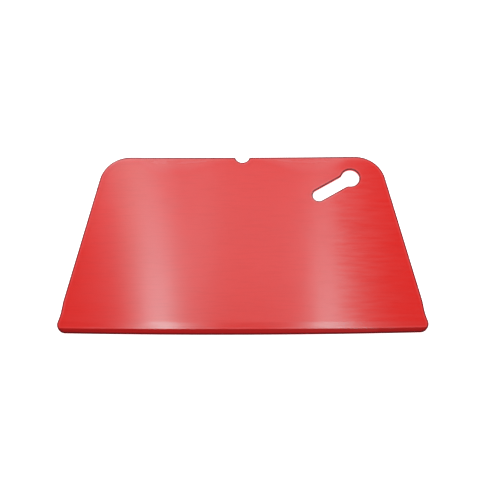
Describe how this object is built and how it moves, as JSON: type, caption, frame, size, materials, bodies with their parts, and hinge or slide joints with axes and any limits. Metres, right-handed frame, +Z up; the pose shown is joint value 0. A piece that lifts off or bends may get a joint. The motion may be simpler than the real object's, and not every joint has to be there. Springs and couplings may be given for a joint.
{
  "type": "hand scraper",
  "caption": "Flat trapezoidal plastic hand scraper with a bevelled blade edge, large rounded back corners, a thumb notch and a slanted keyhole for hanging.",
  "frame": {"origin": "middle of the blade's box, on its underside", "axes": "+X along the blade edge to the right, +Y from the blade edge towards the notched back edge, +Z up, out of the bevelled face"},
  "size_m": [0.216, 0.1128, 0.002],
  "materials": {
    "red_plastic": "satin red moulded plastic, finely brushed along the blade, smoother on the land behind the bevel"
  },
  "bodies": {
    "root": {"scraper_blade": "red_plastic"}
  },
  "joints": []
}
